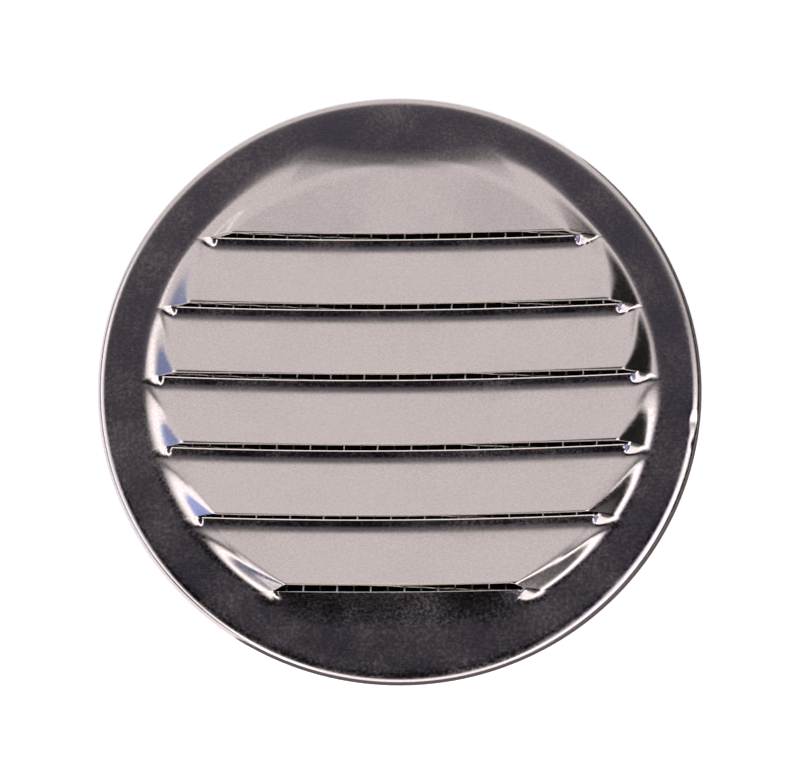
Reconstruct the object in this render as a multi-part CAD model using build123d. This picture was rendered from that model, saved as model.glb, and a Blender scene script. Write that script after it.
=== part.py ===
from build123d import *
import os
from math import acos, asin, atan2, cos, degrees, floor, hypot, radians, sin, tan

# Round push-in louver vent of sheet aluminium, in millimetres.
# The origin is the centre of the plane that seats on the wall round the hole.
# +Z points out of the wall, and the slots open towards -Y, which is down when the vent is in a wall.

# The hole and the rim
hole_diameter = 101.6
rim_overlap = 6.35
face_sheet = 0.64
hem_bend = 0.3
edge_clearance = 0.3

# The louvers
field_margin = 4.3
louver_pitch = 13.7
louver_height = 3.3
sill = 7.2
least_head = 2.0
land = 0.4
top_reach = 2.8
lip_setback = 0.55
ramp_bend = 3.0
end_bend = 2.4
end_slope = 35.0
end_foot = 1.2
entry_angle = 4.0

# The screen
wire_diameter = 0.43
mesh_pitch = 9.0
mesh_bar = 1.2

# The collar
collar_sheet = 0.64
collar_depth = 14.0
collar_bend = 0.6
hem_clearance = 0.4
lead_height = 2.0
lead_in = 0.4
finger_count = 8
slit_width = 1.6
slit_length = 9.5

# Levels above the seating plane: hem, collar flange, screen, face
hem_top = face_sheet
flange_top = hem_top + collar_sheet
screen_top = flange_top + 2 * wire_diameter
face_top = screen_top + face_sheet

# Radii
hole_radius = hole_diameter / 2
rim_radius = hole_radius + rim_overlap
hem_curl = hem_bend + face_sheet
shoulder = face_top - hem_curl
hem_radius = hole_radius + collar_bend + hem_clearance
field_radius = hole_radius - field_margin
screen_radius = rim_radius - shoulder - edge_clearance
flange_radius = rim_radius - hem_curl - edge_clearance
skirt_radius = hole_radius - collar_sheet


def bow(centre, radius, start, sweep, flats):
    """Points along an arc, which is rolled in a few flats so that the round edges stay light."""
    angles = [radians(start + sweep * step / flats) for step in range(flats + 1)]
    return [(centre[0] + radius * cos(angle), centre[1] + radius * sin(angle)) for angle in angles]


def rim_area():
    """Half section of the face sheet before the louvers: flat disc, rolled edge and hem underneath."""
    upper = (rim_radius - shoulder, hem_curl)
    lower = (rim_radius - hem_curl, hem_curl)
    outside = bow(upper, shoulder, 90, -90, 4) + bow(lower, hem_curl, 0, -90, 2)[1:]
    inside = bow(lower, hem_bend, -90, 90, 1) + bow(upper, shoulder - face_sheet, 0, 90, 1)[1:]
    hem_edge = [(hem_radius, 0), (hem_radius, hem_top)]
    outline = [(0, face_top), *outside, *hem_edge, *inside, (0, screen_top)]
    return make_face(Polyline(outline, close=True))


def climb(bend, slope, skin):
    """Arc of a bend that leaves the flat face and climbs to a slope, on the sheet's top or skin below it."""
    centre = (-bend * sin(radians(entry_angle)), bend * cos(radians(entry_angle)))
    radius = bend + skin
    start = degrees(acos((centre[1] + skin) / radius))
    return CenterArc(centre, radius, start - 90, slope - start)


def ramp_slope(run):
    """Slope of the straight that is tangent to the ramp's bend and ends at the height of the lip."""
    across = run - lip_setback + ramp_bend * sin(radians(entry_angle))
    up = louver_height - ramp_bend * cos(radians(entry_angle))
    return degrees(atan2(up, across) + asin(ramp_bend / hypot(across, up)))


def ramp_area(run, skin, floor_level):
    """Section of a louver along its fall, filled down to a floor: to its lip on top, to its cut line below."""
    slope = ramp_slope(run)
    bend = climb(ramp_bend, slope, skin)
    setback = 0 if skin else lip_setback
    front = run - setback
    rise = (lip_setback - setback) * tan(radians(slope)) - skin / cos(radians(slope))
    start = bend @ 0
    back = [(front, floor_level), (start.X, floor_level), start]
    return make_face([bend, Polyline(bend @ 1, (front, louver_height + rise), *back)])


def end_area(slope, skin, floor_level):
    """Section of the sheet that closes one end of a louver, filled from the field's edge across the field."""
    ceiling = 2 * louver_height
    far = 2 * field_radius
    bend = climb(end_bend, slope, skin)
    crest = bend @ 1
    start = bend @ 0
    brow = crest.X + (ceiling - crest.Y) / tan(radians(slope))
    back = [(far, floor_level), (start.X, floor_level), start]
    return make_face([bend, Polyline(crest, (brow, ceiling), (far, ceiling), *back)])


def half_width(y):
    """Half the width of the round louver field at a height y."""
    return (field_radius**2 - y**2) ** 0.5


def louver_end(cut, side, skin, floor_level):
    """Block under the closed end on one side, whose foot runs beside the field's chord above the cut."""
    rise = louver_pitch - land
    chord = Vector(side * (half_width(cut + rise) - half_width(cut)), rise, 0).normalized()
    inward = Vector(-side * chord.Y, side * chord.X, 0)
    slope = degrees(atan2(tan(radians(end_slope)), chord.Y))
    corner = (side * (half_width(cut) + end_foot), cut, face_top)
    across = Plane(origin=corner, x_dir=inward, z_dir=inward.cross(Vector(0, 0, 1)))
    return extrude(across * end_area(slope, skin, floor_level), amount=2 * field_radius, both=True)


def hood(cut, skin, floor_level):
    """One louver above its cut line: a ramp along X, which starts higher on the top one, closed by two ends."""
    run = louver_pitch - land + (top_reach if cut == cuts[-1] else 0)
    along = Plane(origin=(0, cut + run, face_top), x_dir=(0, -1, 0), z_dir=(-1, 0, 0))
    block = extrude(along * ramp_area(run, skin, floor_level), amount=hole_radius, both=True)
    block &= louver_end(cut, 1, skin, floor_level)
    return block & louver_end(cut, -1, skin, floor_level)


# Louver face: one sheet, with as many louvers as the field takes
lowest_cut = sill - field_radius
louver_count = floor((2 * field_radius - sill - least_head) / louver_pitch)
cuts = [lowest_cut + louver_pitch * row for row in range(louver_count)]
louver_face = revolve(Plane.XZ * rim_area(), Axis.Z)
for cut in cuts:
    louver_face += hood(cut, 0, -face_sheet)
for cut in cuts:
    louver_face -= hood(cut, face_sheet, -2 * face_sheet)

# Insect screen: one wall of wire with a ridge along each bar, upright on top and level underneath
screen_middle = (flange_top + screen_top) / 2
open_radius = skirt_radius - mesh_bar
ridge_radius = screen_radius - mesh_bar
steps = floor(open_radius / mesh_pitch)
lines = [mesh_pitch * step for step in range(-steps, steps + 1)]
gaps = Circle(open_radius)
gaps -= [Pos(line, 0) * Rectangle(mesh_bar, 2 * open_radius) for line in lines]
gaps -= [Pos(0, line) * Rectangle(2 * open_radius, mesh_bar) for line in lines]
insect_screen = extrude(Circle(screen_radius) - gaps, wire_diameter / 2, both=True)
foot = mesh_bar / 2
ridge = make_face(Polyline((-foot, 0), (foot, 0), (0, wire_diameter / 2), close=True))
for line in lines:
    half = (ridge_radius**2 - line**2) ** 0.5
    bar = Pos(line, 0, wire_diameter / 2) * Rot(X=90) * extrude(ridge, half, both=True)
    insect_screen += [bar, Rot(Z=90) * Rot(Y=180) * bar]
insect_screen = Pos(0, 0, screen_middle) * insect_screen

# Collar: flange under the screen, and a skirt that pushes into the hole
bend_centre = (hole_radius + collar_bend, hem_top - collar_bend)
taper_top = lead_height - collar_depth
outside = bow(bend_centre, collar_bend, 90, 90, 1) + [(hole_radius, taper_top)]
inside = [(skirt_radius, taper_top)] + bow(bend_centre, collar_bend + collar_sheet, 180, -90, 1)
rear = [(hole_radius - lead_in, -collar_depth), (skirt_radius - lead_in, -collar_depth)]
edge = [(flange_radius, flange_top), (flange_radius, hem_top)]
collar_area = make_face(Polyline(*outside, *rear, *inside, *edge, close=True))
collar = revolve(Plane.XZ * collar_area, Axis.Z)
slit_reach = 2 * (slit_length - slit_width / 2)
slit = Rot(X=90) * extrude(SlotCenterToCenter(slit_reach, slit_width, rotation=90), 2 * hole_radius)
for place in PolarLocations(0, finger_count, start_angle=180 / finger_count):
    collar -= place * Rot(Z=90) * Pos(0, 0, -collar_depth) * slit

os.makedirs("parts", exist_ok=True)
export_step(louver_face, "parts/louver_face.step")
export_step(insect_screen, "parts/insect_screen.step")
export_step(collar, "parts/collar.step")
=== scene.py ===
# %% [markdown]
# # A mini louver vent
# The vent is a round plate of thin aluminium that pushes into a drilled hole and lets air through.
# It is three sheets and wires in one sandwich: a stamped face with six louvers and a rolled rim, a woven
# insect screen behind it, and a slit collar that grips the hole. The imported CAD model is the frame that
# gives every size, and this script dresses it, in metres, in the same place.

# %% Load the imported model
import math

import bpy
import numpy as np
from mathutils import Matrix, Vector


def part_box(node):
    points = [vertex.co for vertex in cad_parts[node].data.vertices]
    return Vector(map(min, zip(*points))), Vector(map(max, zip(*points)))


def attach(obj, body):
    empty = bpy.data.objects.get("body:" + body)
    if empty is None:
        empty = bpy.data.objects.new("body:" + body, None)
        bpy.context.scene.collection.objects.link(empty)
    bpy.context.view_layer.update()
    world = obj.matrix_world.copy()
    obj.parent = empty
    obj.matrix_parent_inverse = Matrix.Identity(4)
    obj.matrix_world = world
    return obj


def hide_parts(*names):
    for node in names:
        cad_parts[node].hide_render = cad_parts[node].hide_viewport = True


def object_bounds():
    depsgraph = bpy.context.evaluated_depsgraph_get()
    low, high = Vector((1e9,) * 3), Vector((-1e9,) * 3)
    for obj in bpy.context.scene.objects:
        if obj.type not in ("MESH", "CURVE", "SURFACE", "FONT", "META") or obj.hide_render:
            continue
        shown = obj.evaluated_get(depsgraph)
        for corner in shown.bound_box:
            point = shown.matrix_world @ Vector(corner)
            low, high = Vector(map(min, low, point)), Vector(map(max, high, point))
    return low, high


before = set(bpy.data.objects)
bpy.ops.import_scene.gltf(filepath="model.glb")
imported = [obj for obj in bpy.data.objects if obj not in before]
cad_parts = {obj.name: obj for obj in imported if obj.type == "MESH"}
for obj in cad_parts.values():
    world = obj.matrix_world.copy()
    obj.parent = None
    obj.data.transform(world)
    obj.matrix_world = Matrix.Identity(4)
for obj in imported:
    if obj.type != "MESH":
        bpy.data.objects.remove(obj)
cad_box = [list(corner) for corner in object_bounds()]
print("CAD nodes:", sorted(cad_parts), "box in metres:", cad_box)

# %% [markdown]
# ## Sizes
# Shapes are worked out in millimetres, as a sheet-metal drawing gives them, and turned to metres when a
# mesh is made. Sizes that the CAD solids show are read from their boxes, so both models agree.

# %% Sizes that the solids give
MM = 0.001
face_low, face_high = (np.array(corner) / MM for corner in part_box("louver_face"))
screen_low, screen_high = (np.array(corner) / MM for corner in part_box("insect_screen"))
collar_low, collar_high = (np.array(corner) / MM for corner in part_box("collar"))
sheet = 0.64
rim_radius = min(*face_high[:2], *-face_low[:2])
lip_top = face_high[2]
face_top = screen_high[2] + sheet
louver_height = lip_top - face_top
print(f"rim radius {rim_radius:.2f}, face at {face_top:.2f}, louvers stand {louver_height:.2f} mm proud")

# %% [markdown]
# ## From grids to sheet metal
# Every piece here is a thin sheet, so one way of building serves them all: points on a grid, quads between
# neighbours, and then a thickness. Where two grids meet, or a cut closes at its end, points fall on each
# other and are welded. A Solidify modifier could give the thickness, but it would also follow the tiny round
# of a sheared edge and twist the wall there, so the back of the sheet is worked out from its plain form.

# %% Grids, welds and thickness
weld_steps = 1e4


def grid_quads(rows, columns, start=0):
    """Quads of a grid of points: each joins a point, the next in its row and the two above them."""
    index = start + np.arange(rows * columns).reshape(rows, columns)
    corners = index[:-1, :-1], index[:-1, 1:], index[1:, 1:], index[1:, :-1]
    return np.stack([corner.ravel() for corner in corners], axis=1)


def weld(points, quads):
    """Points that share a place on a lattice of a ten-thousandth of a millimetre become one.
    A quad that loses a corner by it becomes a triangle, and one that loses more is dropped."""
    lattice = np.round(points * weld_steps).astype(np.int64)
    _, first, place = np.unique(lattice, axis=0, return_index=True, return_inverse=True)
    quads = place.reshape(-1)[quads]
    repeat = quads == np.roll(quads, -1, axis=1)
    lost = repeat.sum(axis=1)
    triangles = quads[lost == 1][~repeat[lost == 1]].reshape(-1, 3)
    return first, quads[lost == 0], triangles


def sheet_normals(points, quads, triangles):
    """Normal at each point: the sum of its faces' normals, weighted by their areas, made one long."""
    total = np.zeros_like(points)
    flat = np.cross(points[quads[:, 2]] - points[quads[:, 0]], points[quads[:, 3]] - points[quads[:, 1]])
    np.add.at(total, quads, flat[:, None, :])
    if len(triangles):
        a, b, c = (points[triangles[:, side]] for side in range(3))
        np.add.at(total, triangles, np.cross(b - a, c - a)[:, None, :])
    return total / np.maximum(np.linalg.norm(total, axis=1, keepdims=True), 1e-12)


def thicken(skin, core, quads, triangles, thickness):
    """Closed wall: the skin, the core moved inwards along its normals by the thickness and turned round,
    and a quad on each edge that has a face on one side only."""
    count = len(skin)
    back = core - thickness * sheet_normals(core, quads, triangles)
    sides = [np.stack([f, np.roll(f, -1, axis=1)], axis=2).reshape(-1, 2) for f in (quads, triangles)]
    edges = np.concatenate(sides)
    rim = edges[~np.isin(edges[:, 0] * count + edges[:, 1], edges[:, 1] * count + edges[:, 0])]
    wall = np.stack([rim[:, 1], rim[:, 0], rim[:, 0] + count, rim[:, 1] + count], axis=1)
    all_quads = np.concatenate([quads, quads[:, ::-1] + count, wall])
    all_triangles = np.concatenate([triangles, triangles[:, ::-1] + count])
    sheared = np.arange(len(all_quads)) >= 2 * len(quads)
    return np.concatenate([skin, back]), all_quads, all_triangles, sheared


def make_piece(name, points, quads, triangles, sheared=None, crease=35):
    """Puts points in millimetres and their faces into a mesh object in metres. It is shaded smooth, with a
    sharp edge wherever two faces meet at more than the crease angle in degrees. Sheared faces are the narrow
    walls round the sheet, and take the piece's second material."""
    mesh = bpy.data.meshes.new(name)
    mesh.from_pydata(points * MM, [], quads.tolist() + triangles.tolist())
    if sheared is not None:
        finish = np.concatenate([sheared, np.zeros(len(triangles), bool)])
        mesh.polygons.foreach_set("material_index", finish.astype(np.int32))
    mesh.validate()
    mesh.shade_smooth()
    mesh.set_sharp_from_angle(angle=math.radians(crease))
    piece = bpy.data.objects.new(name, mesh)
    bpy.context.scene.collection.objects.link(piece)
    count = 2 * len(quads) + len(triangles)
    print(f"{name}: {len(points)} points, {count} triangles")
    return piece


print("points weld on a lattice of", 1 / weld_steps, "mm")

# %% [markdown]
# ## The louvers
# A louver is lanced: a punch shears the sheet along one straight line and pushes the metal above the cut
# outwards, so that a slope leaves the flat sheet in a soft bend and ends at an open lip. The ends stay
# joined to the sheet and close it like a hood. Each louver is the lower of two surfaces: a ramp that
# depends on the fall from the cut above, and an end wall that depends on the distance from the round field's
# edge. A soft minimum of the two rounds the crease where they meet, and leaves it crisp at the lip.

# %% Bends and soft creases
field_radius = 46.5
louver_pitch = 13.7
louver_count = 6
sill = 7.2
crown_start, land = 46.7, 1.2
crown_bend, ramp_bend = 20.0, 7.8
row_shift = np.array([0, 0, 0, 0, 0.3, 0])
setbacks = np.array([0.58, 0.58, 0.62, 0.55, 0.22, 0.85])
lowest_cut = sill - field_radius
cuts = lowest_cut + louver_pitch * np.arange(louver_count)[::-1] + row_shift


def bend(distance, radius, slope):
    """Height of a sheet that leaves the level in an arc of a radius and goes on straight at a slope:
    radius minus root(radius squared minus distance squared), then the tangent times what is left."""
    reach = radius * math.sin(slope)
    arc = radius - np.sqrt(radius**2 - np.clip(distance, 0, reach) ** 2)
    return arc + np.maximum(distance - reach, 0) * math.tan(slope)


def slope_for(height, run, radius):
    """Slope at which a bend reaches a height after a run, found by halving."""
    low, high = 0.0, math.radians(80)
    for _ in range(50):
        middle = (low + high) / 2
        reached = bend(np.array([run]), radius, middle)[0]
        low, high = (middle, high) if reached < height else (low, middle)
    return low


def soft_lower(a, b, round_off):
    """Lower of two heights, with the crease between them rounded: where they differ by less than the
    round-off, the square of what is missing, over four times the round-off, comes off as well."""
    missing = np.maximum(round_off - np.abs(a - b), 0)
    return np.minimum(a, b) - missing**2 / (4 * np.maximum(round_off, 1e-6))


def ease(value):
    """Smooth step from 0 to 1: three squares less two cubes of the value, held between 0 and 1."""
    t = np.clip(value, 0, 1)
    return t * t * (3 - 2 * t)


starts = np.concatenate([[crown_start], cuts[:-1] - land])
ramp_bends = np.array([crown_bend] + [ramp_bend] * (louver_count - 1))
runs = starts - cuts - setbacks
slopes = [slope_for(louver_height, run, radius) for run, radius in zip(runs, ramp_bends)]
print("slopes of the louvers from the top, in degrees:", np.round(np.degrees(slopes), 1))

# %% [markdown]
# ## The stamped field
# The field inside the rim is one grid whose rows run along the slots and whose columns fan out to the edge
# of the round field, so that a column follows the closed ends. The rows are parted at each cut: the row
# above the cut rises to the lip, and the row below it stays on the sheet. Outside the slot both rows lie on
# each other and weld, which is just what a lanced sheet does. The shear also drags the lower edge outwards by
# less than a tenth of a millimetre, and that tiny burr is what draws a bright line along every slot. At the
# slots' ends each hood leaves a knuckle below the cut, and the sheet between two hoods is drawn up with them.

# %% Height of the stamped sheet
grid_radius = 50.0
bow_half = 39.0
# The closed ends: how far the foot lies outside the field's edge, its bend, and the slope above it
slot_margins = {"left": 0.7, "right": 1.6}
foot = {"left": 2.8, "right": 3.0}
foot_bend = {"left": 7.0, "right": 5.0}
end_slope = {"left": math.radians(38), "right": math.radians(32)}
crown_foot = 2.2
crown_bends = {"left": 11.0, "right": 7.0}
flare_bend = 5.5
# How far the sheet between two hoods is drawn up, for each louver from the top
drawn_up = [0.0, 2.6, 2.6, 1.4, 0.4, 0.4]


def field_edge(y):
    """Half the width of the louver field at a height y: the circle's, and above 38 mm its tangent."""
    turn = 38.0
    at_turn = math.sqrt(field_radius**2 - turn**2)
    circle = np.sqrt(np.maximum(field_radius**2 - np.minimum(y, turn) ** 2, 0))
    return circle - np.maximum(y - turn, 0) * turn / at_turn


def slot_half(x, cut):
    """Half the length of a slot: the field's half width, less 0.7 mm on the left and 1.6 mm on the right."""
    return field_edge(cut) - np.where(x < 0, slot_margins["left"], slot_margins["right"])


def end_wall(inside, x, y):
    """Height of the closed ends at a distance inside the field's edge: a bend that starts at a foot outside
    the edge and goes on straight, wide and steep on the left, tighter and less steep on the right. Beside the
    third slot the right foot is flared by a bell along y, 1 mm further out and twice as wide a bend. At the
    crown, from 33 to 42 mm up, both feet move out and their bends widen."""
    flare = np.exp(-(((y + 3) / 5.5) ** 2))
    crown = ease((y - 33) / 9)
    left_reach = inside + foot["left"] + crown_foot * crown
    left_bend = foot_bend["left"] + crown_bends["left"] * crown
    right_reach = inside + foot["right"] + crown_foot * crown + flare
    right_bend = foot_bend["right"] + crown_bends["right"] * crown + flare_bend * flare
    left = bend(left_reach, left_bend, end_slope["left"])
    return np.where(x < 0, left, bend(right_reach, right_bend, end_slope["right"]))


def lift(x, strip):
    """How far up a ramp's start moves beyond the ends of the slot above it, because the sheet between two
    hoods is drawn up with them: 2.6 mm at most on the upper louvers, and less on the lower ones. The top one
    follows the round field: 0.9 mm times the square of x over 14 mm, and 1.2 mm at most."""
    if strip == 0:
        return np.minimum(0.9 * (x / 14) ** 2, 1.2)
    return drawn_up[strip] * ease((np.abs(x) - slot_half(x, cuts[strip - 1]) + 1) / 3.5)


def inside_round(x, y):
    """Distance inside the top louver's edge, which follows the round field: along the radius, and stretched
    so that it is the distance along x at the cut."""
    chord_share = field_edge(cuts[0]) / field_radius
    return (field_radius - np.hypot(x, y)) / chord_share


def louver(x, y, strip):
    """Height of one louver above the flat sheet: the soft minimum of its ramp and its end walls. The crease
    between them is rounded by 2.6 mm at the ramp's start and 0.5 mm at the lip, and less where it is low."""
    fall = np.minimum(starts[strip] - y, runs[strip])
    fall = fall + lift(x, strip) * np.clip(1 - fall / runs[strip], 0, 1)
    ramp = bend(fall, ramp_bends[strip], slopes[strip])
    inside = field_edge(y) - np.abs(x)
    if strip == 0:
        inside += (inside_round(x, y) - inside) * ease((y - cuts[0]) / 2)
    ends = end_wall(inside, x, y)
    share = np.clip(fall / runs[strip], 0, 1)
    round_off = (2.6 - 2.1 * share**2) * np.clip(np.maximum(ramp, ends) / 2.2, 0, 1)
    return np.maximum(soft_lower(ramp, ends, round_off), 0)


def lip_open(x, strip):
    """Share to which the lip stands open along its slot: 0 at the slot's ends, 1 from 3 mm inside them."""
    return ease((slot_half(x, cuts[strip]) - np.abs(x)) / 3)


def knuckle(x, fall, strip):
    """Height that the end of the hood above a cut leaves below it: all of it beyond the slot's end, none from
    1 mm inside the slot, and dying out over a fall of 2.2 mm."""
    reach = 2.2
    cut = cuts[strip - 1]
    whole = louver(x, np.full_like(x, cut), strip - 1)
    return whole * ease(1 - (slot_half(x, cut) - np.abs(x))) * (1 - ease(fall / reach))


def burr(x, fall, cut):
    """Edge that the shear drags outwards: 0.07 mm, or 0.05 mm at the lowest slot, times the square of one
    less the fall over 0.25 mm. It fades out in the last 1.5 mm of the slot."""
    high, wide, ends = 0.05 if cut == lowest_cut else 0.07, 0.25, 1.5
    along = ease((slot_half(x, cut) - np.abs(x)) / ends)
    return high * along * np.clip(1 - fall / wide, 0, 1) ** 2


def lip_roll(x, rise_above, strip):
    """How far the lip's outer edge is rolled over, 0.03 mm at most: a quarter of an ellipse over 0.06 mm."""
    deep, wide = 0.03, 0.06
    rest = np.clip(1 - rise_above / wide, 0, 1)
    return deep * lip_open(x, strip) * (1 - np.sqrt(1 - rest**2))


def pull(x, fall, cut):
    """How far the shear pulls up the sheet below a cut: 0.14 mm times the square of one less the fall over
    1.6 mm. The wide sill below the lowest cut is pulled up by 0.3 mm over 7 mm."""
    high, wide, ends = (0.3, 7.0, 6.0) if cut == lowest_cut else (0.14, 1.6, 2.0)
    along = ease((slot_half(x, cut) - np.abs(x)) / ends)
    return high * along * np.clip(1 - fall / wide, 0, 1) ** 2


def sag(x, y):
    """How far the slots sag along y: 0.8 mm times the square of x over 39 mm, less 0.2 mm, dying out in the
    last 3.5 mm before the grid's edge."""
    deep, raised, fade = 0.8, 0.2, 3.5
    return (deep * (x / bow_half) ** 2 - raised) * ease((grid_radius - np.hypot(x, y)) / fade)


print("cut lines at y =", np.round(cuts, 2))

# %% Rows and columns of the field
# Rows lie close together where the sheet bends: at the cut, at the foot of the ramp and at the lip
below_cut = [0, 0.05, 0.11, 0.19, 0.3, 0.48]
bend_steps = [0.75, 1.05, 1.4, 1.75, 2.1, 2.5, 3.0, 3.5, 4.1, 4.8]
slope_steps = [5.7, 6.6, 7.5, 8.4, 9.3, 9.9, 10.5, 11.0, 11.5, 12.0, 12.4, 12.8]
lip_steps = [13.1, 13.3, 13.44, 13.54, 13.61, 13.66, 13.7]
shares = np.array(below_cut + bend_steps + slope_steps + lip_steps) / louver_pitch
crown = grid_radius * np.sin(np.radians(np.arange(90, 69, -2.0)))
top_slope = [41.6, 40.8, 39.8, 38.6, 37.4, 36.2, 35.0, 33.8, 32.6, 31.5, 30.6, 30.0]
top_lip = [29.65, 29.5, 29.42, 29.35, 29.29, 29.24, cuts[0]]
top_rows = np.concatenate([crown, np.arange(46.4, 42.2, -0.55), top_slope, top_lip])
sill_steps = below_cut + [0.8, 1.2, 1.7, 2.3, 3.0, 3.9, 4.8]
sill_rows = np.concatenate([lowest_cut - np.array(sill_steps), [-45.0, -46.0], -crown[::-1]])
strip_rows = [top_rows] + [a + (b - a) * shares for a, b in zip(cuts[:-1], cuts[1:])] + [sill_rows]

half = np.concatenate([np.linspace(0, 0.6, 11), np.linspace(0.62, 0.8, 10), np.linspace(0.81, 1, 20)])
across = np.concatenate([-half[:0:-1], half])
margin_steps = np.linspace(0, 1, 9)[1:]


def field_columns(y):
    """x of every column in rows at y: shares of the field's half width, which is held between 0.78 and 0.94
    of the grid's, then eight steps to the grid's edge."""
    outer = np.sqrt(np.maximum(grid_radius**2 - y**2, 0))
    share = np.clip(field_edge(y) / np.maximum(outer, 1e-6), 0.78, 0.94)
    inner = (outer * share)[:, None]
    wide = inner + (outer[:, None] - inner) * margin_steps
    return np.concatenate([-wide[:, ::-1], inner * across, wide], axis=1)


def stamp(strip):
    """Points of one strip between two cuts, as the skin with its burr and as the plain core. The last rows
    draw back from the cut by the lip's setback, less 0.36 mm times the square of x over 39 mm, and that fades
    out over 2.5 mm."""
    fade, bow, least = 2.5, 0.36, 0.05
    y = strip_rows[strip]
    x = field_columns(y)
    level = np.repeat(y[:, None], x.shape[1], axis=1)
    rise = np.zeros_like(x)
    edge = np.zeros_like(x)
    if strip < louver_count:
        near = np.clip(1 - (level - cuts[strip]) / fade, 0, 1)
        back = np.maximum(setbacks[strip] - bow * (x / bow_half) ** 2, least)
        edge = -lip_roll(x, level - cuts[strip], strip)
        level = level + back * near * lip_open(x, strip)
        rise += louver(x, level, strip)
    if strip < louver_count - 1:
        rise = np.maximum(rise, louver(x, level, strip + 1))
    if strip > 0:
        fall = cuts[strip - 1] - y[:, None]
        edge = edge + burr(x, fall, cuts[strip - 1])
        rise = np.maximum(rise, knuckle(x, fall, strip)) + pull(x, fall, cuts[strip - 1])
    core = np.stack([x, level + sag(x, level), face_top + rise], axis=2)
    return core + np.stack([0 * x, 0 * x, edge], axis=2), core


strips = [stamp(strip) for strip in range(louver_count + 1)]
print("rows in each strip:", [len(rows) for rows in strip_rows], "columns:", strips[0][0].shape[1])

# %% [markdown]
# ## The rolled rim
# Past the field the sheet is a plain flange. Its edge is rolled down and under, in a hem that folds round
# the collar and the screen and holds the three layers together. That is a profile carried round a circle,
# and it starts from the field grid's own border points, so the two weld into one sheet. Two small nicks on
# the right of the rim are knocked into the profile.

# %% Carry the rim's profile round
hem_curl = 0.94
shoulder_high = face_top - hem_curl
hem_radius = 51.8
lean = math.tan(math.radians(20))
flange_r = np.array([50.6, 51.4, 52.8, 54.0])
hem_r = np.array([54.0, hem_radius])
curl = np.radians(np.linspace(0, -90, 7))[1:]
edges = [skin[min(k, 1):, [0, -1]] for k, (skin, _) in enumerate(strips)]
left_edge, right_edge = np.concatenate(edges).transpose(1, 0, 2)
border = np.concatenate([right_edge[::-1], left_edge[1:]])
spoke = border[:, :2] / np.linalg.norm(border[:, :2], axis=1, keepdims=True)


def nick(points, centre, depth, spread):
    """Depth of a small dent at each point: a bell round its centre, which is where a knock landed."""
    away = np.linalg.norm(points - np.array(centre), axis=-1)
    return depth * np.exp(-((away / spread) ** 2))


def rim_profile(rightness):
    """Radii and heights along the rim's profile at each place round it: the flange, a bevel that leans over
    to 20 degrees in a parabola, a quarter of an ellipse from there to upright, the curl under it and the hem.
    The bevel is 1.6 mm wide on the right and 1 mm on the left."""
    bevel, turn = 1.3 + 0.3 * rightness, 0.85 - 0.1 * rightness
    left_high = shoulder_high - bevel * lean / 2
    high = left_high + (lean * turn) ** 2 / (2 * left_high)
    top = np.arctan2(high, lean * turn)
    step = np.linspace(0, 1, 7)[:, None]
    angle = top * (1 - np.linspace(0, 1, 10)[:, None])
    inner = rim_radius - turn * (1 - np.cos(top)) - bevel
    one = np.ones_like(rightness)
    curl_r = rim_radius - hem_curl + hem_curl * np.cos(curl)
    curl_high = hem_curl + hem_curl * np.sin(curl)
    radii = [flange_r[:, None] * one, inner + bevel * step[:-1], rim_radius - turn * (1 - np.cos(angle)),
             curl_r[:, None] * one, hem_r[:, None] * one]
    heights = [face_top * one + 0 * flange_r[:, None], face_top - bevel * lean / 2 * step[:-1] ** 2,
               hem_curl + high * np.sin(angle), curl_high[:, None] * one, 0 * hem_r[:, None] * one]
    return np.concatenate(radii), np.concatenate(heights)


radii, heights = rim_profile(spoke[:, 0])
ring = np.empty((len(radii) + 1, len(border), 3))
ring[0] = border
ring[1:, :, :2] = radii[..., None] * spoke
ring[1:, :, 2] = heights
knocks = nick(ring, (55.6, -6.6, 2.7), 0.22, 0.7) + nick(ring, (56.0, -11.1, 2.5), 0.2, 0.8)
ring[..., 2] -= knocks
print("rim profile:", len(radii), "points, carried to", len(border), "places")

# %% Weld the face and give it thickness
blocks = strips + [(ring, ring)]
skin_points = np.concatenate([skin.reshape(-1, 3) for skin, _ in blocks])
core_points = np.concatenate([core.reshape(-1, 3) for _, core in blocks])
counts = np.cumsum([0] + [skin.shape[0] * skin.shape[1] for skin, _ in blocks])
parts = [grid_quads(*skin.shape[:2], start)[:, ::-1] for (skin, _), start in zip(blocks, counts)]
first, quads, triangles = weld(core_points, np.concatenate(parts))
face_mesh = thicken(skin_points[first], core_points[first], quads, triangles, sheet)
louver_sheet = make_piece("louver_sheet", *face_mesh)
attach(louver_sheet, "root")
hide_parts("louver_face")

# %% [markdown]
# ## The insect screen
# Behind the face lies a plain weave of thin aluminium wire, eight or nine wires to the inch. Each is a tube
# that goes over one crossing wire and under the next, so its height is a cosine with a full wave every two
# meshes, and the crossing wires have the opposite one. The weave lies turned by about three degrees, as cut
# cloth does. All tubes are one grid: wire, step along it, step round it.

# %% Weave the wires
wire = 0.43
upright_pitch, level_pitch = 25.4 / 8, 2.8
edge_margin = 2.0
wire_steps, tube_sides = 136, 6
screen_level = (screen_low[2] + screen_high[2]) / 2
screen_radius = screen_high[0] - 0.2
weave_turn = math.radians(-3.1)
weave_shift = np.array([-0.39, 1.13])


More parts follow.
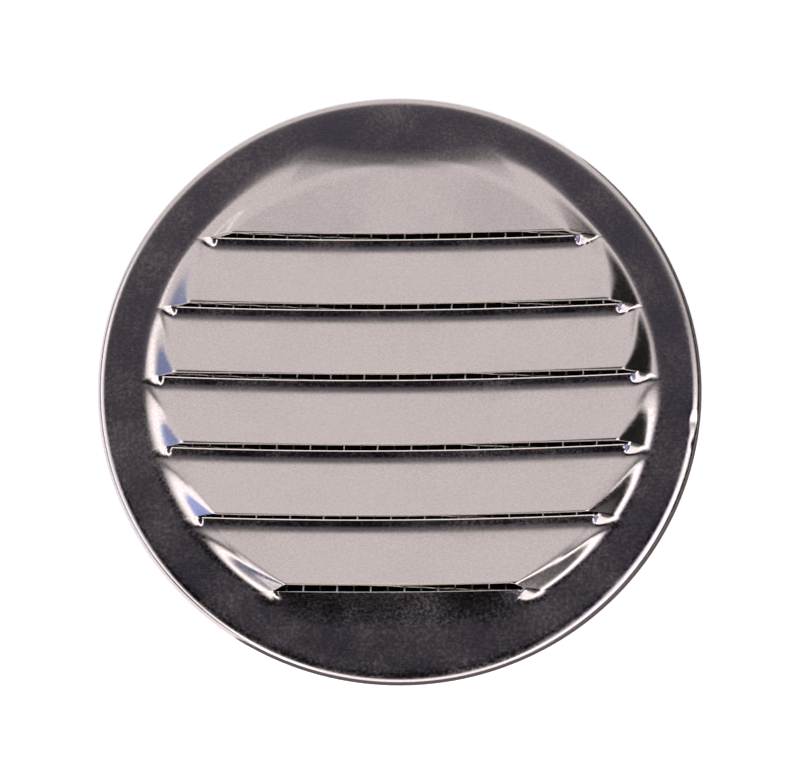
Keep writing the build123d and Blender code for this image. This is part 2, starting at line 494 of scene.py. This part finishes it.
def weave(along_x):
    """Tubes of one set of parallel wires. A wire's height is plus or minus half its thickness times the
    cosine of pi times the place along it over the mesh, and neighbouring wires have opposite signs."""
    pitch, mesh = (level_pitch, upright_pitch) if along_x else (upright_pitch, level_pitch)
    last = int((screen_radius - edge_margin) / pitch)
    lines = np.arange(-last, last + 1)
    offset = lines * pitch
    reach = np.sqrt(screen_radius**2 - offset**2)
    place = reach[:, None] * np.linspace(-1, 1, wire_steps + 1)
    sign = np.where(lines % 2 == 0, 1.0, -1.0)[:, None] * (1 if along_x else -1)
    height = sign * wire / 2 * np.cos(np.pi * place / mesh)
    turn = np.linspace(0, 2 * np.pi, tube_sides + 1)[:-1]
    beside = offset[:, None, None] + wire / 2 * np.cos(turn)
    up = height[..., None] + wire / 2 * np.sin(turn)
    forth = np.repeat(place[..., None], len(turn), axis=2)
    beside = np.broadcast_to(beside, forth.shape)
    order = (forth, beside, up) if along_x else (beside, forth, up)
    return np.stack(order, axis=3)


def tube_faces(tubes, flip):
    """Quads round and along every tube, and two quads that close each end of its six-sided section."""
    count, length, sides = tubes.shape[:3]
    index = np.arange(count * length * sides).reshape(count, length, sides)
    beside = np.roll(index, -1, axis=2)
    corners = index[:, :-1], beside[:, :-1], beside[:, 1:], index[:, 1:]
    walls = np.stack([corner.ravel() for corner in corners], axis=1)
    lids = [index[:, 0][:, [3, 2, 1, 0]], index[:, 0][:, [5, 4, 3, 0]]]
    lids += [index[:, -1][:, [0, 1, 2, 3]], index[:, -1][:, [0, 3, 4, 5]]]
    faces = np.concatenate([walls] + lids)
    return faces[:, ::-1] if flip else faces


upright, level_wires = weave(False), weave(True)
level_faces = tube_faces(level_wires, False) + upright[..., 0].size
wire_quads = np.concatenate([tube_faces(upright, True), level_faces])
wire_points = np.concatenate([upright.reshape(-1, 3), level_wires.reshape(-1, 3)])
wire_points[:, :2] += weave_shift
turn_x = [math.cos(weave_turn), -math.sin(weave_turn)]
turn_y = [math.sin(weave_turn), math.cos(weave_turn)]
wire_points[:, :2] = wire_points[:, :2] @ np.array([turn_x, turn_y]).T
wire_points[:, 2] += screen_level
woven_screen = make_piece("woven_screen", wire_points, wire_quads, np.zeros((0, 3), int), crease=70)
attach(woven_screen, "root")
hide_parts("insect_screen")

# %% [markdown]
# ## The collar
# The collar is a short drawn tube with a flange that the hem holds. Eight slits part its skirt into spring
# fingers, and its end is drawn in a little, so that it finds the hole. Like the face, it is a profile carried
# round a circle, and each slit is a cut that the grid opens: at a slit the columns stand apart by the slit's
# half width, which grows from nothing along a half circle at its closed end.

# %% Carry the collar's profile round
hole_radius = 50.8
collar_bend = 0.6
finger_count, finger_columns = 8, 25
slit_half, slit_length = 0.8, 9.5
slit_top = collar_low[2] + slit_length
flange_under = collar_high[2] - sheet
turn = np.radians(np.linspace(90, 180, 7))
slit_rows = slit_top - slit_half * (1 - np.cos(np.linspace(0, np.pi / 2, 7)))
above_slit, finger_rows = [-1.2, -2.4, -3.6], np.linspace(-6.5, -12, 5)
straight = np.concatenate([above_slit, slit_rows, finger_rows])
skirt_r = np.concatenate([
    [collar_high[0], 54.3, 52.7], hole_radius + collar_bend + collar_bend * np.cos(turn),
    np.full_like(straight, hole_radius), [hole_radius - 0.2, hole_radius - 0.4]])
skirt_z = np.concatenate([
    [flange_under] * 3, flange_under - collar_bend + collar_bend * np.sin(turn),
    straight, [-13.0, collar_low[2]]])
depth = np.clip(slit_top - skirt_z, 0, slit_half)
opening = np.sqrt(slit_half**2 - (slit_half - depth) ** 2) / hole_radius
half_finger = math.pi / finger_count
finger = np.linspace(-1, 1, finger_columns) * (half_finger - opening[:, None])
middle = 2 * half_finger * np.arange(finger_count)
angle = finger[None] + middle[:, None, None]
out = skirt_r[None, :, None]
down = np.broadcast_to(skirt_z[None, :, None], angle.shape)
collar_points = np.stack([out * np.cos(angle), out * np.sin(angle), down], axis=3).reshape(-1, 3)
block = len(skirt_r) * finger_columns
finger_quads = [grid_quads(len(skirt_r), finger_columns, k * block) for k in range(finger_count)]
first, quads, triangles = weld(collar_points, np.concatenate(finger_quads)[:, ::-1])
collar_mesh = thicken(collar_points[first], collar_points[first], quads, triangles, sheet)
slit_collar = make_piece("slit_collar", *collar_mesh)
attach(slit_collar, "root")
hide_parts("collar")

# %% [markdown]
# ## Finishes
# All three pieces are bare aluminium, but each was made differently, and that is what the eye sees: the face
# is mill-finish sheet, rolled between ground rolls, the collar is the same sheet drawn through a die, and the
# wire is drawn. Colours are written as sRGB hex values, as a colour picker gives them, and turned to linear.

# %% Colours and nodes


def linear(code):
    """sRGB hex to linear: the value over 12.92 in the darks, else the value plus 0.055, over 1.055, to the
    power 2.4."""
    value = np.array([int(code[k:k + 2], 16) for k in (1, 3, 5)]) / 255
    mixed = np.where(value <= 0.04045, value / 12.92, ((value + 0.055) / 1.055) ** 2.4)
    return (*mixed.tolist(), 1.0)


def add(tree, kind, settings=None, inputs=None):
    """Adds a node, sets its properties, and links or sets its inputs by name or number."""
    node = tree.nodes.new(kind)
    for name, value in (settings or {}).items():
        setattr(node, name, value)
    for name, value in (inputs or {}).items():
        if isinstance(value, bpy.types.NodeSocket):
            tree.links.new(value, node.inputs[name])
        else:
            node.inputs[name].default_value = value
    return node


def new_tree(name):
    """A material with an empty node tree and its output."""
    material = bpy.data.materials.new(name)
    material.use_nodes = True
    material.node_tree.nodes.clear()
    return material, material.node_tree, add(material.node_tree, "ShaderNodeOutputMaterial")


print("middle grey in linear light:", round(linear("#808080")[0], 3))

# %% [markdown]
# ## Mill-finish aluminium sheet
# Rolling leaves sheet aluminium a soft mirror: it shows the room, blurred a little, with a fine grain along
# the rolling direction. Handling adds faint cloudy smears that blur it more. The grain of the real sheet is a
# few hundredths of a millimetre wide, too fine to show here, so it is drawn about 0.15 mm wide. Base colour,
# roughness and a slight bump all come from noise in Object coordinates, scaled so that one unit is 1 mm.

# %% Face sheet material
mill_sheet, tree, output = new_tree("mill_finish_aluminium_sheet")
place = add(tree, "ShaderNodeTexCoord").outputs["Object"]
in_mm = add(tree, "ShaderNodeMapping", inputs={"Vector": place, "Scale": (1000, 1000, 1000)}).outputs[0]
along_grain = add(tree, "ShaderNodeMapping",
                  inputs={"Vector": place, "Scale": (160, 6500, 3000)}).outputs[0]
grain = add(tree, "ShaderNodeTexNoise",
            inputs={"Vector": along_grain, "Scale": 1.0, "Detail": 3.0}).outputs[0]
speckle = add(tree, "ShaderNodeTexNoise", inputs={"Vector": in_mm, "Scale": 2.6, "Detail": 4.0}).outputs[0]
smear = add(tree, "ShaderNodeTexNoise", inputs={"Vector": in_mm, "Scale": 0.09, "Detail": 3.0}).outputs[0]
tone = add(tree, "ShaderNodeMix", {"data_type": "RGBA"},
           {0: speckle, 6: linear("#BBAFAE"), 7: linear("#E0D4D3")})
pits = add(tree, "ShaderNodeTexNoise", inputs={"Vector": in_mm, "Scale": 1.7, "Detail": 2.0}).outputs[0]
haze = add(tree, "ShaderNodeMath", {"operation": "ADD"}, {0: smear, 1: pits}).outputs[0]
blur = add(tree, "ShaderNodeMapRange", inputs={0: haze, 1: 0.75, 2: 1.3, 3: 0.11, 4: 0.26}).outputs[0]
mixed = add(tree, "ShaderNodeMath", {"operation": "ADD"}, {0: grain, 1: speckle}).outputs[0]
relief = add(tree, "ShaderNodeBump",
             inputs={"Strength": 0.12, "Distance": 0.00002, "Height": mixed}).outputs[0]
shader = add(tree, "ShaderNodeBsdfPrincipled",
             inputs={"Base Color": tone.outputs[2], "Metallic": 1.0, "Roughness": blur, "Normal": relief})
tree.links.new(shader.outputs[0], output.inputs[0])
louver_sheet.data.materials.append(mill_sheet)
print("face finish:", mill_sheet.name)

# %% [markdown]
# ## Sheared edges
# A shear tears the metal through the last half of its thickness, so a cut edge is matt and catches light from
# all sides. It is the same metal with a rough surface, and short lines across the sheet.

# %% Sheared edge material
torn_edge, tree, output = new_tree("sheared_aluminium_edge")
place = add(tree, "ShaderNodeTexCoord").outputs["Object"]
across_cut = add(tree, "ShaderNodeMapping",
                 inputs={"Vector": place, "Scale": (3000, 3000, 700)}).outputs[0]
tears = add(tree, "ShaderNodeTexNoise",
            inputs={"Vector": across_cut, "Scale": 1.0, "Detail": 3.0}).outputs[0]
tone = add(tree, "ShaderNodeMix", {"data_type": "RGBA"},
           {0: tears, 6: linear("#B9B2A6"), 7: linear("#E6E0D2")})
blur = add(tree, "ShaderNodeMapRange", inputs={0: tears, 1: 0.3, 2: 0.7, 3: 0.5, 4: 0.7}).outputs[0]
relief = add(tree, "ShaderNodeBump",
             inputs={"Strength": 0.3, "Distance": 0.00005, "Height": tears}).outputs[0]
shader = add(tree, "ShaderNodeBsdfPrincipled",
             inputs={"Base Color": tone.outputs[2], "Metallic": 1.0, "Roughness": blur, "Normal": relief})
tree.links.new(shader.outputs[0], output.inputs[0])
louver_sheet.data.materials.append(torn_edge)
print("cut edges:", torn_edge.name)

# %% [markdown]
# ## Drawn aluminium: the collar and the wire
# Drawing the collar through a die leaves fine upright lines and a slightly duller surface than the face.
# The wire went through a much smaller die, and weathers to a soft grey.

# %% Collar material
drawn_sheet, tree, output = new_tree("drawn_aluminium_collar")
place = add(tree, "ShaderNodeTexCoord").outputs["Object"]
in_mm = add(tree, "ShaderNodeMapping", inputs={"Vector": place, "Scale": (1000, 1000, 1000)}).outputs[0]
along_draw = add(tree, "ShaderNodeMapping",
                 inputs={"Vector": place, "Scale": (4000, 4000, 120)}).outputs[0]
lines = add(tree, "ShaderNodeTexNoise",
            inputs={"Vector": along_draw, "Scale": 1.0, "Detail": 3.0}).outputs[0]
smear = add(tree, "ShaderNodeTexNoise", inputs={"Vector": in_mm, "Scale": 0.12, "Detail": 3.0}).outputs[0]
tone = add(tree, "ShaderNodeMix", {"data_type": "RGBA"},
           {0: lines, 6: linear("#BDB8B6"), 7: linear("#D6D2D0")})
blur = add(tree, "ShaderNodeMapRange", inputs={0: smear, 1: 0.3, 2: 0.7, 3: 0.24, 4: 0.36}).outputs[0]
relief = add(tree, "ShaderNodeBump",
             inputs={"Strength": 0.15, "Distance": 0.00003, "Height": lines}).outputs[0]
shader = add(tree, "ShaderNodeBsdfPrincipled",
             inputs={"Base Color": tone.outputs[2], "Metallic": 1.0, "Roughness": blur, "Normal": relief})
tree.links.new(shader.outputs[0], output.inputs[0])
slit_collar.data.materials.append(drawn_sheet)
slit_collar.data.materials.append(torn_edge)
print("collar finish:", drawn_sheet.name)

# %% Wire material
drawn_wire, tree, output = new_tree("drawn_aluminium_wire")
place = add(tree, "ShaderNodeTexCoord").outputs["Object"]
in_mm = add(tree, "ShaderNodeMapping", inputs={"Vector": place, "Scale": (1000, 1000, 1000)}).outputs[0]
dulled = add(tree, "ShaderNodeTexNoise", inputs={"Vector": in_mm, "Scale": 0.7, "Detail": 3.0}).outputs[0]
tone = add(tree, "ShaderNodeMix", {"data_type": "RGBA"},
           {0: dulled, 6: linear("#B4B0AC"), 7: linear("#DEDAD4")})
blur = add(tree, "ShaderNodeMapRange", inputs={0: dulled, 1: 0.3, 2: 0.7, 3: 0.22, 4: 0.34}).outputs[0]
shader = add(tree, "ShaderNodeBsdfPrincipled",
             inputs={"Base Color": tone.outputs[2], "Metallic": 1.0, "Roughness": blur})
tree.links.new(shader.outputs[0], output.inputs[0])
woven_screen.data.materials.append(drawn_wire)
print("wire finish:", drawn_wire.name)

# %% [markdown]
# ## Floor
# The vent lies on a plain pale floor. Its paint is a plain diffuse white that keeps the object's shadow, with
# a little glow for camera, mirror and glass rays only, so that the floor looks white to the camera and in the
# metal, while no more light falls on the object.

# %% Lay the floor
floor_paint, tree, output = new_tree("matt_white_floor_paint")
path = add(tree, "ShaderNodeLightPath")
seen = add(tree, "ShaderNodeMath", {"operation": "ADD"},
           {0: path.outputs["Is Camera Ray"], 1: path.outputs["Is Glossy Ray"]}).outputs[0]
seen = add(tree, "ShaderNodeMath", {"operation": "ADD", "use_clamp": True},
           {0: seen, 1: path.outputs["Is Transmission Ray"]}).outputs[0]
glow = add(tree, "ShaderNodeMath", {"operation": "MULTIPLY"}, {0: seen, 1: 0.6}).outputs[0]
shader = add(tree, "ShaderNodeBsdfPrincipled", inputs={
    "Base Color": linear("#E8E8E8"), "Roughness": 0.9, "Specular IOR Level": 0.0,
    "Emission Color": (1, 1, 1, 1), "Emission Strength": glow})
tree.links.new(shader.outputs[0], output.inputs[0])
floor_half, floor_level = 3.0, cad_box[0][2]
floor_mesh = bpy.data.meshes.new("floor")
corners = np.array([[-1, -1, 0], [1, -1, 0], [1, 1, 0], [-1, 1, 0]]) * floor_half
floor_mesh.from_pydata(corners + np.array([0, 0, floor_level]), [], [[0, 1, 2, 3]])
floor = bpy.data.objects.new("floor", floor_mesh)
bpy.context.scene.collection.objects.link(floor)
floor.data.materials.append(floor_paint)
print("floor at z =", round(floor_level, 4))

# %% [markdown]
# ## What the vent lies over
# A vent covers a hole, and no light comes back out of the hole. A dark disc on the floor inside the collar is
# painted shade that stands for the dark hole, so that the slots look as deep and dark as they do in use.

# %% Lay the disc of painted shade
hole_shade_paint, tree, output = new_tree("painted_hole_shade")
# The disc's near-black colour is painted shade: the dark of the hole under the vent, not a lining.
shader = add(tree, "ShaderNodeBsdfPrincipled", inputs={
    "Base Color": linear("#1C1A1B"), "Roughness": 0.9, "Specular IOR Level": 0.0})
tree.links.new(shader.outputs[0], output.inputs[0])
disc_radius, disc_corners = 49.4, 96
disc_level = floor_level / MM + 0.05
around = np.linspace(0, 2 * np.pi, disc_corners + 1)[:-1]
disc = np.stack([disc_radius * np.cos(around), disc_radius * np.sin(around), 0 * around + disc_level], axis=1)
hole_mesh = bpy.data.meshes.new("painted_shade_disc")
hole_mesh.from_pydata(disc * MM, [], [list(range(disc_corners))])
painted_shade_disc = bpy.data.objects.new("painted_shade_disc", hole_mesh)
bpy.context.scene.collection.objects.link(painted_shade_disc)
painted_shade_disc.data.materials.append(hole_shade_paint)
print("dark disc of", len(disc), "corners inside the collar")

# %% [markdown]
# ## A dark card beside the rim
# The limb of a polished rim mirrors the ground beside it, and on a white floor it would melt into the
# background. A photographer lays a dark card there, out of the picture, to draw the edge. This one lies on
# the right and in front. It shows in mirrors only, and takes no light from the floor.

# %% Lay the dark card
card_inner, card_outer = 60.0, 400.0
card_level = floor_level / MM + 0.1
sweep = np.radians(np.linspace(-125, 55, 61))
spokes = np.stack([np.cos(sweep), np.sin(sweep), 0 * sweep], axis=1)
card_points = np.concatenate([card_inner * spokes, card_outer * spokes]) + np.array([0, 0, card_level])
card_mesh = bpy.data.meshes.new("dark_card")
card_mesh.from_pydata(card_points * MM, [], grid_quads(2, len(sweep)).tolist())
dark_card = bpy.data.objects.new("dark_card", card_mesh)
bpy.context.scene.collection.objects.link(dark_card)
card_paper, tree, output = new_tree("grey_card_paper")
shader = add(tree, "ShaderNodeBsdfPrincipled", inputs={
    "Base Color": linear("#7C7879"), "Roughness": 0.9, "Specular IOR Level": 0.0})
tree.links.new(shader.outputs[0], output.inputs[0])
dark_card.data.materials.append(card_paper)
dark_card.visible_camera = False
dark_card.visible_diffuse = False
dark_card.visible_shadow = False
print("dark card from", np.degrees(sweep[0]), "to", np.degrees(sweep[-1]), "degrees round the rim")

# %% [markdown]
# ## Light
# A shiny sheet looks like what it mirrors. The flat flange mirrors the dark ceiling above the camera, and the
# slopes mirror the bright walls, so the room is a band of light all round with a dark top. The left is a
# little bluer, as from a window, a lamp on the right draws white lines along the louvers' feet, and the low
# corners in front are dark. Each patch of light is a product of smooth steps, and a step takes one part of
# the direction: where it starts, where it ends, and its value before and after.

# %% Room light
world = bpy.data.worlds.new("studio")
bpy.context.scene.world = world
world.use_nodes = True
tree = world.node_tree
tree.nodes.clear()
output = add(tree, "ShaderNodeOutputWorld")
look = add(tree, "ShaderNodeTexCoord").outputs["Generated"]
way = add(tree, "ShaderNodeSeparateXYZ", inputs={0: look})
x_way, y_way, z_way = (way.outputs[k] for k in range(3))
x_squared = add(tree, "ShaderNodeMath", {"operation": "MULTIPLY"}, {0: x_way, 1: x_way}).outputs[0]
y_less_z = add(tree, "ShaderNodeMath", {"operation": "SUBTRACT"}, {0: y_way, 1: z_way}).outputs[0]
patches = {
    "wall": [(z_way, 0.77, 0.91, 0.90, 0.0), (x_way, 0.42, 0.68, 1.0, 0.02)],
    "front": [(y_way, -0.60, -0.18, 0.75, 0.0), (z_way, 0.86, 0.995, 1.0, 0.0)],
    "lamp": [(x_way, 0.22, 0.38, 0.0, 0.6), (x_way, 0.52, 0.66, 1.0, 0.0),
             (z_way, 0.68, 0.78, 0.0, 1.0), (y_way, 0.14, 0.34, 3.4, 0.1)],
    "window": [(x_way, -0.42, -0.28, 0.9, 0.0), (z_way, 0.88, 0.95, 1.0, 0.0),
               (y_less_z, -0.36, -0.27, 1.0, 0.0)],
    "ceiling": [(z_way, 0.80, 0.93, 0.0, 1.0), (y_way, 0.18, 0.31, 0.005, 0.165)],
    "low_left": [(x_way, -0.85, -0.6, 1.0, 0.0), (z_way, 0.44, 0.62, 1.0, 0.0)],
    "corners": [(x_squared, 0.25, 0.45, 0.0, 0.8), (y_way, -0.42, -0.28, 1.0, 0.0)],
    "top": [(z_way, 0.90, 0.97, 0.0, 1.0)]}
patch_light = {}
for patch, steps in patches.items():
    for part, start, end, before, after in steps:
        step = add(tree, "ShaderNodeMapRange", {"interpolation_type": "SMOOTHSTEP"},
                   {0: part, 1: start, 2: end, 3: before, 4: after}).outputs[0]
        patch_light[patch] = add(tree, "ShaderNodeMath", {"operation": "MULTIPLY"},
                                 {0: step, 1: patch_light.get(patch, 1.0)}).outputs[0]
print("patches of room light:", ", ".join(patch_light))

# %% Join the patches
strength = 0.0
for patch in ("wall", "front", "lamp", "window", "ceiling"):
    strength = add(tree, "ShaderNodeMath", {"operation": "ADD"},
                   {0: patch_light[patch], 1: strength}).outputs[0]
for patch, dimming in (("low_left", 0.32), ("corners", 1.0)):
    left_over = add(tree, "ShaderNodeMath", {"operation": "MULTIPLY_ADD"},
                    {0: patch_light[patch], 1: -dimming, 2: 1.0}).outputs[0]
    strength = add(tree, "ShaderNodeMath", {"operation": "MULTIPLY"}, {0: strength, 1: left_over}).outputs[0]
colour = linear("#FFFFFF")
for patch, tint in (("low_left", "#B2C6FF"), ("top", "#E2DCFF")):
    colour = add(tree, "ShaderNodeMix", {"data_type": "RGBA"},
                 {0: patch_light[patch], 6: colour, 7: linear(tint)}).outputs[2]
light = add(tree, "ShaderNodeBackground", inputs={"Color": colour, "Strength": strength})
tree.links.new(light.outputs[0], output.inputs[0])
print("room light: bright walls, a window on the left, a lamp on the right, a dark top and low corners")

# %% [markdown]
# ## Camera
# The photograph looks down on the face from the side of the slots' mouths, about 76 degrees up, from far
# enough away that there is little perspective. The frame is 800 by 783 pixels, and the rim's ellipse is
# 604 pixels wide and centred, which sets the focal length. A roll of half a degree levels the slots as seen.

# %% Place the camera
distance, elevation, roll = 3.0, math.radians(76.2), math.radians(0.42)
picture_width, rim_pixels = 800, 302.2
pixels_per_mm = rim_pixels / rim_radius
lens = bpy.data.cameras.new("camera")
lens.sensor_fit = "HORIZONTAL"
lens.sensor_width = 36.0
lens.lens = lens.sensor_width * distance / (picture_width / pixels_per_mm * MM)
lens.clip_end = 20.0
camera = bpy.data.objects.new("camera", lens)
bpy.context.scene.collection.objects.link(camera)
aim = np.array([0.1, -0.15, 1.0]) * MM
toward = np.array([0, -math.cos(elevation), math.sin(elevation)])
upward = np.array([0, math.sin(elevation), math.cos(elevation)])
sideways = math.cos(roll) * np.array([1.0, 0, 0]) - math.sin(roll) * upward
axes = np.stack([sideways, np.cross(toward, sideways), toward], axis=1)
camera.matrix_world = Matrix.Translation(aim + distance * toward) @ Matrix(axes.tolist()).to_4x4()
bpy.context.scene.camera = camera
bpy.context.scene.view_settings.view_transform = "Standard"
print(f"camera {distance} m away, {math.degrees(elevation):.1f} degrees up, lens {lens.lens:.1f} mm")

# %% [markdown]
# ## Finish
# At the end the view layer is brought up to date.

# %% Finish
bpy.context.view_layer.update()
